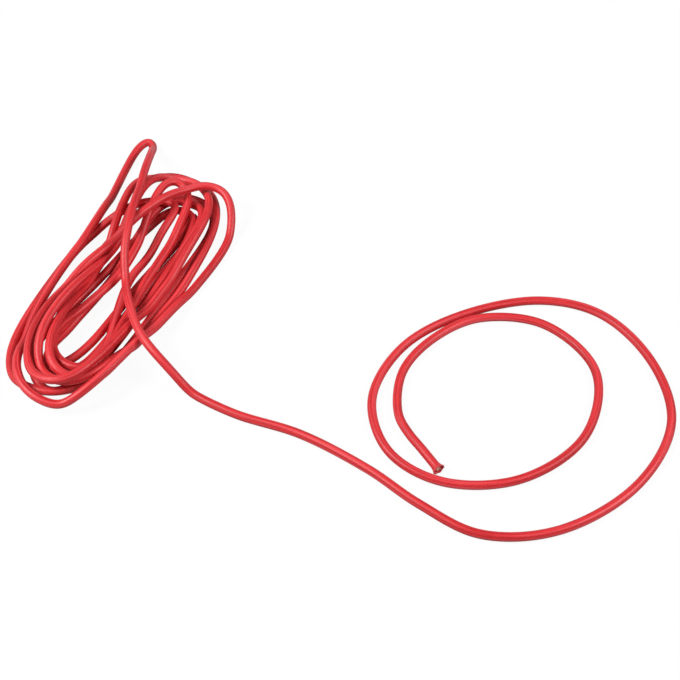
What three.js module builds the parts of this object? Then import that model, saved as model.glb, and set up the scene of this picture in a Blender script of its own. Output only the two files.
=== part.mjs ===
// An elastic shock cord, 5.4 mm thick and 4.8 m long, as it lies on a flat surface: a loose hank
// of nine long loops, and one free stretch that leaves the hank in a tall narrow loop, crosses over
// it and sweeps round beside it in an open spiral. The cord is a braided sheath round a core of
// rubber strands, and both of its ends are cut hot, which melts the sheath into a flared mouth.
// Millimetres, +Z up. The origin is on the surface, under the middle of the cord's outline.

import * as THREE from 'three';
import { mergeVertices } from 'three/addons/utils/BufferGeometryUtils.js';

// The cord's own sizes
const CORD_DIAMETER = 5.4;
const STRAND_DIAMETER = 0.85;
const STRANDS_AROUND = 6;
const PIECE_CLEARANCE = 0.3;
const LAY_CLEARANCE = 0.55;
const UNDERSIDE_SHARE = 0.1;

// The cut ends
const MOUTH_DIAMETER = 6.5;
const MOUTH_WALL = 0.7;
const MOUTH_LENGTH = 4;
const STRAND_LENGTH = 12;
const STRAND_RECESS = 1.2;

// The hank: half its length and half its width, its middle, and the direction of its long axis
const HANK_HALF_LENGTH = 100;
const HANK_HALF_WIDTH = 40;
const HANK_MIDDLE_X = -127;
const HANK_MIDDLE_Y = 26;
const HANK_AXIS_DEG = 63;

// Each loop of the hank, from the bottom of the pile to the top. A fold is given by how far its tip
// reaches along the hank, where the tip lies across it, and half the fold's breadth near the tip. A
// run is given by where it lies across the hank at the middle, and by how far its upper half leans
// to the right of there. Reaches are shares of the hank's half length, and all the others are shares
// of its half width, right of the axis counted positive.
const LOOP_SHARES = [
  { top: [0.56, 0, 0.12], right: [0.1, 0.04], bottom: [0.84, -0.4, 0.34], left: [-0.52, 0.06] },
  { top: [0.62, -0.01, 0.3], right: [0.26, 0.04], bottom: [0.86, -0.08, 0.33], left: [-0.36, -0.02] },
  { top: [0.71, -0.02, 0.36], right: [0.4, 0], bottom: [0.98, -0.05, 0.43], left: [-0.84, 0] },
  { top: [0.79, -0.04, 0.56], right: [0.6, -0.03], bottom: [1.03, -0.22, 0.7], left: [-1.22, 0] },
  { top: [0.6, -0.2, 0.31], right: [-0.05, -0.16], bottom: [0.81, 0.12, 0.34], left: [-0.24, 0.02] },
  { top: [0.765, -0.3, 0.3], right: [0.22, -0.12], bottom: [0.89, 0.17, 0.44], left: [-0.64, -0.2] },
  { top: [0.925, -0.45, 0.6], right: [0.745, -0.02], bottom: [0.95, 0.13, 0.54], left: [-0.55, -0.05] },
  { top: [0.875, -0.35, 0.53], right: [0.55, -0.02], bottom: [1, 0.06, 0.43], left: [-0.63, 0.28] },
  { top: [0.83, 0.33, 0.53], right: [0.895, 0.06], bottom: [1.09, 0.075, 0.73], left: [-1.15, -0.06] },
];
const START_SIDE_SHARE = 0;
const START_TURN_SHARE = 0.1;
const FOLD_ANGLE_DEG = 35;

// The free stretch: where it passes, seen from above, from the hank to its cut end
const FREE_STRETCH_PLAN = [
  [-164.5, 54], [-154.8, 80], [-148.6, 107.3], [-138.6, 143.5], [-134.6, 151], [-130.7, 154.4],
  [-127.5, 151.5], [-126.3, 142.5], [-125.2, 122], [-130.2, 58], [-132.1, 25], [-125.6, -8],
  [-113.6, -36], [-91, -58.3], [-60, -77], [-20, -92], [19.5, -116.5], [47, -139], [80, -158.4],
  [124, -156], [172, -126], [197.5, -82], [191, -36], [165, -1], [129, 9.6], [78.2, -2.5],
  [41, -28], [22, -67], [31, -104], [60.3, -124.3], [105, -123], [145.5, -93.3], [157, -45],
  [129.5, -9.8], [90.2, -4.7], [61.1, -20.3], [41, -46], [37.3, -77.4], [43.3, -92], [49.8, -102.1],
];

// How the cord bends over what lies under it: the radius of a hump
const HUMP_RADIUS = 40;

// How finely the cord is drawn
const HANK_SIDES = 6;
const FREE_SIDES = 8;
const MOUTH_SIDES = 16;
const STEPS_PER_LOOP = 24;
const FREE_STEPS = 78;
const HANK_BEND_LENGTH = 30;
const FREE_BEND_LENGTH = 60;
const PLAN_STEP = 1;
const CHORD_STEP = 1.5;
const MERGE_TOLERANCE = 1e-3;

// Sizes that follow
const CORD_RADIUS = CORD_DIAMETER / 2;
const MOUTH_RADIUS = MOUTH_DIAMETER / 2;
const STRAND_RADIUS = STRAND_DIAMETER / 2;
const STRAND_PITCH = STRAND_DIAMETER + PIECE_CLEARANCE;
const CORE_RADIUS = STRAND_PITCH + STRAND_RADIUS;
const BORE_RADIUS = CORE_RADIUS + PIECE_CLEARANCE;
const REST_HEIGHT = CORD_RADIUS - UNDERSIDE_SHARE * CORD_DIAMETER;
const END_LENGTH = STRAND_LENGTH + CORD_DIAMETER;
const FULL_TURN = 2 * Math.PI;

// The hank is about half as many cords high as it has loops, and a hump starts far enough ahead to
// come down from there
const PILE_HEIGHT = CORD_DIAMETER * LOOP_SHARES.length / 2;
const HUMP_REACH = Math.sqrt(2 * HUMP_RADIUS * PILE_HEIGHT);

// A value between those of neighbouring loops, eased in and out by half a cosine wave.
function eased(values, place) {
  const index = THREE.MathUtils.clamp(Math.floor(place), 0, values.length - 2);
  const share = THREE.MathUtils.clamp(place - index, 0, 1);
  const weight = (1 - Math.cos(Math.PI * share)) / 2;
  return THREE.MathUtils.lerp(values[index], values[index + 1], weight);
}

// The hank's centreline from above. Round each loop, the place along the hank is its reach times the
// turn's cosine, and the place across it is the runs' middle plus half their distance times the
// turn's sine, drawn to the tip at a fold, with a third wave that swells or narrows the fold and a
// second wave that leans a run.
function hankPlan() {
  const folds = LOOP_SHARES.flatMap((loop) => [loop.top, loop.bottom]);
  const reaches = folds.map((fold) => fold[0] * HANK_HALF_LENGTH);
  const tips = folds.map((fold) => fold[1] * HANK_HALF_WIDTH);
  const breadths = folds.map((fold) => fold[2] * HANK_HALF_WIDTH);
  const rights = LOOP_SHARES.map((loop) => loop.right[0] * HANK_HALF_WIDTH);
  const lefts = [START_SIDE_SHARE, ...LOOP_SHARES.map((loop) => loop.left[0])]
    .map((share) => share * HANK_HALF_WIDTH);
  const leans = [0, ...LOOP_SHARES.flatMap((loop) => [loop.right[1], -loop.left[1]])]
    .map((share) => share * HANK_HALF_WIDTH);
  const foldSine = Math.sin(THREE.MathUtils.degToRad(FOLD_ANGLE_DEG));
  const foldWave = foldSine + Math.sin(THREE.MathUtils.degToRad(3 * FOLD_ANGLE_DEG));
  const axis = THREE.MathUtils.degToRad(HANK_AXIS_DEG);
  const lastTurn = LOOP_SHARES.length - 1 / 4;
  const count = Math.round((lastTurn - START_TURN_SHARE) * (4 * HANK_HALF_LENGTH / PLAN_STEP));
  const points = [];
  for (let i = 0; i <= count; i += 1) {
    const turn = THREE.MathUtils.lerp(START_TURN_SHARE, lastTurn, i / count);
    const angle = FULL_TURN * turn;
    const right = eased(rights, turn - 1 / 4);
    const left = eased(lefts, turn + 1 / 4);
    const middle = (right + left) / 2;
    const half = (right - left) / 2;
    const swell = (eased(breadths, 2 * turn) - half * foldSine) / foldWave;
    const along = eased(reaches, 2 * turn) * Math.cos(angle);
    const across = middle + half * Math.sin(angle)
      + (eased(tips, 2 * turn) - middle) * Math.cos(angle) ** 2
      + swell * (Math.sin(angle) + Math.sin(3 * angle))
      + eased(leans, 2 * turn + 1 / 2) * Math.sin(2 * angle);
    points.push(new THREE.Vector3(
      HANK_MIDDLE_X + along * Math.cos(axis) + across * Math.sin(axis),
      HANK_MIDDLE_Y + along * Math.sin(axis) - across * Math.cos(axis),
      0,
    ));
  }
  return points;
}

// A straight piece that carries a line on past its last point.
function straightOn(before, last, length) {
  const direction = last.clone().sub(before).normalize();
  const count = Math.ceil(length / PLAN_STEP);
  return Array.from({ length: count }, (_, i) => (
    last.clone().addScaledVector(direction, length * (i + 1) / count)
  ));
}

// The whole centreline from above, with the distance along it and how far it has turned in all.
function wholePlan() {
  const hank = hankPlan();
  const start = straightOn(hank[1], hank[0], END_LENGTH).reverse();
  const lead = hank[hank.length - Math.round(CORD_DIAMETER / PLAN_STEP)];
  const through = [lead, hank.at(-1), ...FREE_STRETCH_PLAN.map(([x, y]) => new THREE.Vector3(x, y, 0))];
  const curve = new THREE.CatmullRomCurve3(through, false, 'centripetal');
  const pieces = Math.round(curve.getLength() / PLAN_STEP);
  const free = [];
  for (let i = 0; i <= pieces; i += 1) {
    const share = i / pieces;
    if (share > 1 / (through.length - 1)) free.push(curve.getPoint(share));
  }
  const end = straightOn(free.at(-2), free.at(-1), END_LENGTH);
  const points = [...start, ...hank, ...free, ...end];
  const plan = { points, along: [0], turned: [0], join: 0 };
  let heading = null;
  for (let i = 1; i < points.length; i += 1) {
    const step = points[i].clone().sub(points[i - 1]);
    const next = Math.atan2(step.y, step.x);
    const change = heading === null ? 0 : Math.abs(THREE.MathUtils.euclideanModulo(
      next - heading + Math.PI,
      FULL_TURN,
    ) - Math.PI);
    heading = next;
    plan.along.push(plan.along[i - 1] + step.length());
    plan.turned.push(plan.turned[i - 1] + change);
  }
  plan.join = plan.along[start.length + hank.length - 1];
  return plan;
}

// The index of the last value that isn't above the given one, in a list that rises.
function placeIn(values, value) {
  let low = 0;
  let high = values.length - 1;
  while (high - low > 1) {
    const middle = (low + high) >> 1;
    if (values[middle] <= value) low = middle; else high = middle;
  }
  return low;
}

// The corner at a distance along the plan.
function cornerAt(plan, distance) {
  const i = placeIn(plan.along, distance);
  const share = (distance - plan.along[i]) / (plan.along[i + 1] - plan.along[i]);
  return { place: plan.points[i].clone().lerp(plan.points[i + 1], share), along: distance };
}

// Corners for the cord's straight steps between two distances along the plan. Each step has the same
// sum of its length and its turning, so steps are short in a fold and long in a run.
function cornersBetween(plan, from, to, steps, bendLength) {
  const weights = plan.along.map((distance, i) => distance + bendLength * plan.turned[i]);
  const weightAt = (distance) => {
    const i = placeIn(plan.along, distance);
    const share = (distance - plan.along[i]) / (plan.along[i + 1] - plan.along[i]);
    return THREE.MathUtils.lerp(weights[i], weights[i + 1], share);
  };
  const corners = [];
  for (let step = 0; step <= steps; step += 1) {
    const wanted = THREE.MathUtils.lerp(weightAt(from), weightAt(to), step / steps);
    const i = placeIn(weights, wanted);
    const share = (wanted - weights[i]) / (weights[i + 1] - weights[i]);
    corners.push(cornerAt(plan, THREE.MathUtils.lerp(plan.along[i], plan.along[i + 1], share)));
  }
  return corners;
}

// The corners of the whole cord. The step where the hank meets the free stretch is straight, and so
// are the two ends.
function cordCorners(plan) {
  const total = plan.along.at(-1);
  const hankSteps = Math.round(STEPS_PER_LOOP * (LOOP_SHARES.length - START_TURN_SHARE));
  return [
    cornerAt(plan, 0),
    ...cornersBetween(plan, END_LENGTH, plan.join - CORD_DIAMETER, hankSteps, HANK_BEND_LENGTH),
    ...cornersBetween(
      plan,
      plan.join + CORD_DIAMETER,
      total - END_LENGTH,
      FREE_STEPS,
      FREE_BEND_LENGTH,
    ),
    cornerAt(plan, total),
  ];
}

// Points along the steps between the corners, each on its own step. The mouths are wider than the
// cord, so they need more room, and the straight ends lie a little higher to carry them.
function pointsOnSteps(corners) {
  const total = corners.at(-1).along;
  const points = [];
  for (let step = 0; step < corners.length - 1; step += 1) {
    const a = corners[step];
    const b = corners[step + 1];
    const count = Math.ceil(a.place.distanceTo(b.place) / CHORD_STEP);
    for (let i = 0; i < count; i += 1) {
      const share = (i + 1 / 2) / count;
      const along = THREE.MathUtils.lerp(a.along, b.along, share);
      const toEnd = Math.min(along, total - along);
      points.push({
        x: THREE.MathUtils.lerp(a.place.x, b.place.x, share),
        y: THREE.MathUtils.lerp(a.place.y, b.place.y, share),
        step,
        share,
        along,
        radius: toEnd < MOUTH_LENGTH + CORD_RADIUS ? MOUTH_RADIUS : CORD_RADIUS,
        need: toEnd < END_LENGTH ? MOUTH_RADIUS : REST_HEIGHT,
      });
    }
  }
  return points;
}

// Lays the cord down in order from its hidden end, as a hand coils it: each point rests on the
// surface or on whatever lies under it already, and the cord rises over that in a gentle hump.
function layDown(corners) {
  const points = pointsOnSteps(corners);
  const firstOf = corners.map((_, step) => points.findIndex((point) => point.step === step));
  const longest = Math.max(...corners.slice(1).map((corner, i) => corner.along - corners[i].along));
  const behind = HUMP_REACH + 3 * longest;
  const heightOf = (point) => THREE.MathUtils.lerp(
    corners[point.step].place.z,
    corners[point.step + 1].place.z,
    point.share,
  );
  const humpAt = (corner) => {
    let height = 0;
    for (const point of points) {
      const away = Math.abs(point.along - corner.along);
      if (away <= HUMP_REACH) height = Math.max(height, point.need - away ** 2 / (2 * HUMP_RADIUS));
    }
    return height;
  };
  const settle = (step) => {
    const a = corners[step];
    const b = corners[step + 1];
    if (step === 0) a.place.z = humpAt(a);
    b.place.z = humpAt(b);
    let lift = 0;
    for (let i = firstOf[step]; i < points.length && points[i].step === step; i += 1) {
      lift = Math.max(lift, points[i].need - heightOf(points[i]));
    }
    a.place.z += lift;
    b.place.z += lift;
  };
  let settled = 0;
  for (let step = 0; step < corners.length - 1; step += 1) {
    while (settled < step && corners[settled + 1].along + HUMP_REACH <= corners[step].along) {
      settle(settled);
      settled += 1;
    }
    for (let i = firstOf[step]; i < points.length && points[i].step === step; i += 1) {
      const point = points[i];
      for (const under of points) {
        if (under.along > point.along - behind) break;
        const apart = Math.hypot(under.x - point.x, under.y - point.y);
        const reach = under.radius + point.radius + LAY_CLEARANCE;
        if (apart < reach) {
          point.need = Math.max(point.need, heightOf(under) + Math.sqrt(reach ** 2 - apart ** 2));
        }
      }
    }
  }
  while (settled < corners.length - 1) {
    settle(settled);
    settled += 1;
  }
  for (const point of points) point.z = heightOf(point);
  return points;
}

// The least gap between two stretches of the cord that lie beside or over each other.
function leastGap(points) {
  const near = 4 * CORD_DIAMETER;
  let least = Infinity;
  points.forEach((point, i) => {
    for (let j = 0; j < i && points[j].along < point.along - near; j += 1) {
      const other = points[j];
      const apart = Math.hypot(point.x - other.x, point.y - other.y, point.z - other.z);
      least = Math.min(least, apart - point.radius - other.radius);
    }
  });
  return least;
}

// A centreline of straight steps. Its sections stay level, with one flat side facing down.
class LaidPath extends THREE.Curve {
  constructor(points) {
    super();
    this.points = points;
  }

  getPoint(share, target = new THREE.Vector3()) {
    const place = share * (this.points.length - 1);
    const i = Math.min(Math.floor(place), this.points.length - 2);
    return target.copy(this.points[i]).lerp(this.points[i + 1], place - i);
  }

  getPointAt(share, target) {
    return this.getPoint(share, target);
  }

  tangentOf(i) {
    const step = (a, b) => this.points[b].clone().sub(this.points[a]).normalize();
    const before = i > 0 ? step(i - 1, i) : new THREE.Vector3();
    const after = i < this.points.length - 1 ? step(i, i + 1) : new THREE.Vector3();
    return before.add(after).normalize();
  }

  computeFrenetFrames(segments) {
    const frames = { tangents: [], normals: [], binormals: [] };
    for (let i = 0; i <= segments; i += 1) {
      const tangent = this.tangentOf(i);
      const { up, side } = levelAxes(tangent);
      frames.tangents.push(tangent);
      frames.normals.push(up);
      frames.binormals.push(side);
    }
    return frames;
  }
}

// The axes of a level section across a direction: one as near upright as it can be, one level.
function levelAxes(direction) {
  const upright = new THREE.Vector3(0, 0, 1);
  const up = upright.addScaledVector(direction, -direction.z).normalize();
  return { up, side: direction.clone().cross(up) };
}

// The stretch of the laid cord between two distances along it.
function stretch(corners, from, to) {
  const at = (distance) => {
    const i = placeIn(corners.map((corner) => corner.along), distance);
    const share = (distance - corners[i].along) / (corners[i + 1].along - corners[i].along);
    return corners[i].place.clone().lerp(corners[i + 1].place, share);
  };
  const inside = corners.filter((corner) => (
    corner.along > from + PIECE_CLEARANCE && corner.along < to - PIECE_CLEARANCE
  ));
  return new LaidPath([at(from), ...inside.map((corner) => corner.place), at(to)]);
}

// A polygon with one side flat to the surface, outside a circle of the given radius or inside it.
function polygon(radius, sides, outside) {
  const corner = outside ? radius / Math.cos(Math.PI / sides) : radius;
  return Array.from({ length: sides }, (_, i) => {
    const angle = FULL_TURN * (i + 1 / 2) / sides;
    return new THREE.Vector2(corner * Math.cos(angle), corner * Math.sin(angle));
  });
}

// A geometry with only its positions, merged, so that its faces share their corners.
function closedBody(geometry) {
  geometry.deleteAttribute('uv');
  geometry.deleteAttribute('normal');
  const merged = mergeVertices(geometry, MERGE_TOLERANCE);
  merged.computeVertexNormals();
  return merged;
}

// Presses flat what would reach below the surface.
function pressedFlat(geometry) {
  const positions = geometry.attributes.position;
  for (let i = 0; i < positions.count; i += 1) {
    positions.setZ(i, Math.max(positions.getZ(i), 0));
  }
  return geometry;
}

// A body swept along a stretch, solid or with a bore.
function swept(path, radius, sides, boreRadius) {
  const shape = new THREE.Shape(polygon(radius, sides, false));
  if (boreRadius) shape.holes.push(new THREE.Path(polygon(boreRadius, sides, true)));
  return closedBody(pressedFlat(new THREE.ExtrudeGeometry(shape, {
    steps: path.points.length - 1,
    extrudePath: path,
    bevelEnabled: false,
  })));
}

const sheathMaterial = new THREE.MeshStandardMaterial({ color: 0xd63a40, roughness: 0.62, metalness: 0 });
const mouthMaterial = new THREE.MeshStandardMaterial({ color: 0xb3262c, roughness: 0.5, metalness: 0 });
const rubberMaterial = new THREE.MeshStandardMaterial({ color: 0xf0c4ad, roughness: 0.8, metalness: 0 });

function named(name, geometry, material) {
  const mesh = new THREE.Mesh(geometry, material.clone());
  mesh.name = name;
  return mesh;
}

// The flared mouth that the hot cut leaves at an end: a closed ring whose profile widens outwards.
function mouthGeometry() {
  const boreCorner = BORE_RADIUS / Math.cos(Math.PI / FREE_SIDES);
  const profile = [
    [boreCorner, 0],
    [CORD_RADIUS, 0],
    [THREE.MathUtils.lerp(CORD_RADIUS, MOUTH_RADIUS, 1 / 4), MOUTH_LENGTH / 2],
    [MOUTH_RADIUS, MOUTH_LENGTH],
    [MOUTH_RADIUS - MOUTH_WALL, MOUTH_LENGTH],
    [boreCorner, MOUTH_LENGTH / 2],
    [boreCorner, 0],
  ].map(([radius, height]) => new THREE.Vector2(radius, height));
  const geometry = new THREE.LatheGeometry(profile, MOUTH_SIDES);
  geometry.rotateX(Math.PI / 2);
  return geometry;
}

// The pieces at one cut end: the flared mouth, and the rubber strands that show inside it. Their
// group stands at the tip of the cord and looks out along it.
function cutEnd(name, tip, inner) {
  const group = new THREE.Group();
  const outward = tip.clone().sub(inner).normalize();
  const { up, side } = levelAxes(outward);
  group.position.copy(tip);
  group.quaternion.setFromRotationMatrix(new THREE.Matrix4().makeBasis(up, side, outward));

  const mouth = named(`${name}_mouth`, closedBody(mouthGeometry()), mouthMaterial);
  mouth.position.z = -MOUTH_LENGTH;
  group.add(mouth);

  const places = [new THREE.Vector2(0, 0)];
  for (let i = 0; i < STRANDS_AROUND; i += 1) {
    const angle = FULL_TURN * i / STRANDS_AROUND;
    const ring = STRAND_PITCH / (2 * Math.sin(Math.PI / STRANDS_AROUND));
    places.push(new THREE.Vector2(ring * Math.cos(angle), ring * Math.sin(angle)));
  }
  places.forEach((place, i) => {
    const length = STRAND_LENGTH - STRAND_RECESS;
    const geometry = new THREE.CylinderGeometry(STRAND_RADIUS, STRAND_RADIUS, length, HANK_SIDES);
    geometry.rotateX(Math.PI / 2);
    const strand = named(`${name}_strand_${i + 1}`, closedBody(geometry), rubberMaterial);
    strand.position.set(place.x, place.y, -STRAND_RECESS - length / 2);
    group.add(strand);
  });
  return group;
}

// The whole cord
const plan = wholePlan();
const corners = cordCorners(plan);
const laid = layDown(corners);
const total = corners.at(-1).along;
const joint = PIECE_CLEARANCE / 2;
const tubeEnd = MOUTH_LENGTH + PIECE_CLEARANCE;
const coreEnd = STRAND_LENGTH + PIECE_CLEARANCE;

const cord = new THREE.Group();
cord.add(
  named(
    'hank_sheath',
    swept(stretch(corners, tubeEnd, plan.join - joint), CORD_RADIUS, HANK_SIDES, BORE_RADIUS),
    sheathMaterial,
  ),
  named(
    'hank_core',
    swept(stretch(corners, coreEnd, plan.join - joint), CORE_RADIUS, HANK_SIDES),
    rubberMaterial,
  ),
  named(
    'free_stretch_sheath',
    swept(stretch(corners, plan.join + joint, total - tubeEnd), CORD_RADIUS, FREE_SIDES, BORE_RADIUS),
    sheathMaterial,
  ),
  named(
    'free_stretch_core',
    swept(stretch(corners, plan.join + joint, total - coreEnd), CORE_RADIUS, FREE_SIDES),
    rubberMaterial,
  ),
  cutEnd('start_end', corners[0].place, corners[1].place),
  cutEnd('free_end', corners.at(-1).place, corners.at(-2).place),
);

const outline = new THREE.Box3().setFromObject(cord);
const middle = outline.getCenter(new THREE.Vector3());
cord.position.set(-middle.x, -middle.y, 0);

console.log(`cord length ${total.toFixed(0)} mm`);
console.log(`least gap of the cord to itself ${leastGap(laid).toFixed(2)} mm`);

export default cord;
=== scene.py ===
"""Dresses an elastic shock cord that lies as an untied hank with one free stretch.

The cord is a braid of red yarns round a core of rubber strands. Its hank of nine long loops lies at
the left. One end comes out of it in a tall narrow loop, crosses over it and sweeps round beside it in
an open spiral, where the cut end shows: a flared mouth of melted yarn round the pale rubber strands.
All lengths are in metres.
"""

from __future__ import annotations

import logging
import math
from dataclasses import dataclass, field
from enum import Enum

import bpy
import numpy as np
from bpy.types import ID, Material, Node, NodeSocket, Object
from mathutils import Euler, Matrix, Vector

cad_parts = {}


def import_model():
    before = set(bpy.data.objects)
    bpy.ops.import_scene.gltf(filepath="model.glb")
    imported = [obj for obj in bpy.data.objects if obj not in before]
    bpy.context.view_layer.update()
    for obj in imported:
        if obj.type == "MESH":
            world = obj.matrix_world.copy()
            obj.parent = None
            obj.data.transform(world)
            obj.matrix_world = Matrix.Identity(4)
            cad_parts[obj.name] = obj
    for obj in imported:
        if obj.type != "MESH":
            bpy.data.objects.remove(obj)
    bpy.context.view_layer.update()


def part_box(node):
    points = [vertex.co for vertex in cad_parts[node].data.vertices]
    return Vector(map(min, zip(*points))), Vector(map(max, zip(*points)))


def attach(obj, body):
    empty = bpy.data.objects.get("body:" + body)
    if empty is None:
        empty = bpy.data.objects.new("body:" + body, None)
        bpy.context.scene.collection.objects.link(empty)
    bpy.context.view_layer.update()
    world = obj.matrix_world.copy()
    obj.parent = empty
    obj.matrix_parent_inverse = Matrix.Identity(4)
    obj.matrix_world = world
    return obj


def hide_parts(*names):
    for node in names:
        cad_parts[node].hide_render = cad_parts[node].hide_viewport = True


LOG = logging.getLogger("shock_cord")
Array = np.ndarray
Pair = tuple[float, float]
Triple = tuple[float, float, float]
Colour = tuple[float, float, float, float]
Range = tuple[float, float, float, float]
BRAID_MAP = "braid"
MELT_ATTRIBUTE = "melt"
WHITE: Colour = (1.0, 1.0, 1.0, 1.0)
SHARP_EDGE_DEGREES = 65.0
# How many steps of the line at an end give its direction
END_STEPS = 3


class Slot(Enum):
    """The record's material slots."""

    SHEATH = "braided_sheath"
    MOUTH = "melted_end"
    RUBBER = "rubber_core"


def eased(values: Array, place: Array) -> Array:
    """Carries values from each place to the next by half a cosine wave.

    Args:
        values: the values at the places 0, 1, 2 and so on.
        place: the places asked for.

    Returns:
        The value at each place: the two neighbours mixed by (1 - cos(pi * share)) / 2.
    """
    index = np.clip(np.floor(place).astype(int), 0, len(values) - 2)
    share = np.clip(place - index, 0.0, 1.0)
    weight = (1.0 - np.cos(np.pi * share)) / 2.0
    return values[index] * (1.0 - weight) + values[index + 1] * weight


def unit(vector: Array) -> Array:
    """Gives a vector of length 1 in the same direction."""
    return vector / np.linalg.norm(vector)


def arc_lengths(points: Array) -> Array:
    """Gives the distance along a line at each of its points."""
    steps = np.linalg.norm(np.diff(points, axis=0), axis=1)
    return np.concatenate([[0.0], np.cumsum(steps)])


def points_at(points: Array, wanted: Array) -> Array:
    """Gives the points at the wanted distances along a line, on straight steps between its own."""
    along = arc_lengths(points)
    return np.stack([np.interp(wanted, along, column) for column in points.T], axis=1)


def evenly_spaced(points: Array, step: float) -> Array:
    """Draws a line again with points at one even distance.

    Args:
        points: the line's points, one row each.
        step: the distance wanted between two points.

    Returns:
        The new points, from the first old point to the last.
    """
    length = arc_lengths(points)[-1]
    count = int(round(length / step))
    return points_at(points, np.linspace(0.0, length, count + 1))


def mean_weights(blur: int) -> Array:
    """Gives the weights of a mean over a point and so many neighbours on each side."""
    weights = np.hanning(2 * blur + 3)[1:-1]
    return weights / weights.sum()


def smooth_through(points: Array, samples: int) -> Array:
    """Draws a centripetal Catmull-Rom curve through points.

    Between two points the curve is a cubic whose slopes come from the neighbours, each weighted by
    the square root of its distance, so that the curve makes no loop at a sharp turn.

    Args:
        points: the points to pass through.
        samples: how many points to give between two of them.

    Returns:
        The points of the curve.
    """
    ends = [2.0 * points[0] - points[1], 2.0 * points[-1] - points[-2]]
    padded = np.vstack([ends[0], points, ends[1]])
    before, first, second, after = padded[:-3], padded[1:-2], padded[2:-1], padded[3:]

    def root_distance(a: Array, b: Array) -> Array:
        """Gives the square root of the distance between points."""
        return np.sqrt(np.linalg.norm(b - a, axis=1))[:, None]

    step0, step1, step2 = (
        root_distance(before, first),
        root_distance(first, second),
        root_distance(second, after),
    )
    slope1 = (first - before) / step0 - (second - before) / (step0 + step1) + (second - first) / step1
    slope2 = (second - first) / step1 - (after - first) / (step1 + step2) + (after - second) / step2
    slope1, slope2 = slope1 * step1, slope2 * step1
    share = np.linspace(0.0, 1.0, samples, endpoint=False)[None, :, None]
    square = -3.0 * first + 3.0 * second - 2.0 * slope1 - slope2
    cube = 2.0 * first - 2.0 * second + slope1 + slope2
    curve = (
        first[:, None]
        + slope1[:, None] * share
        + square[:, None] * share**2
        + cube[:, None] * share**3
    )
    return np.vstack([curve.reshape(-1, points.shape[1]), points[-1]])


def level_frames(points: Array) -> tuple[Array, Array]:
    """Gives axes for level sections along a line.

    Args:
        points: the line's points.

    Returns:
        At each point the axis nearest to upright and the level axis to its side.
    """
    tangent = np.gradient(points, axis=0)
    tangent /= np.linalg.norm(tangent, axis=1)[:, None]
    up = np.array([0.0, 0.0, 1.0]) - tangent * tangent[:, 2:3]
    up /= np.linalg.norm(up, axis=1)[:, None]
    return up, np.cross(tangent, up)


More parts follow.
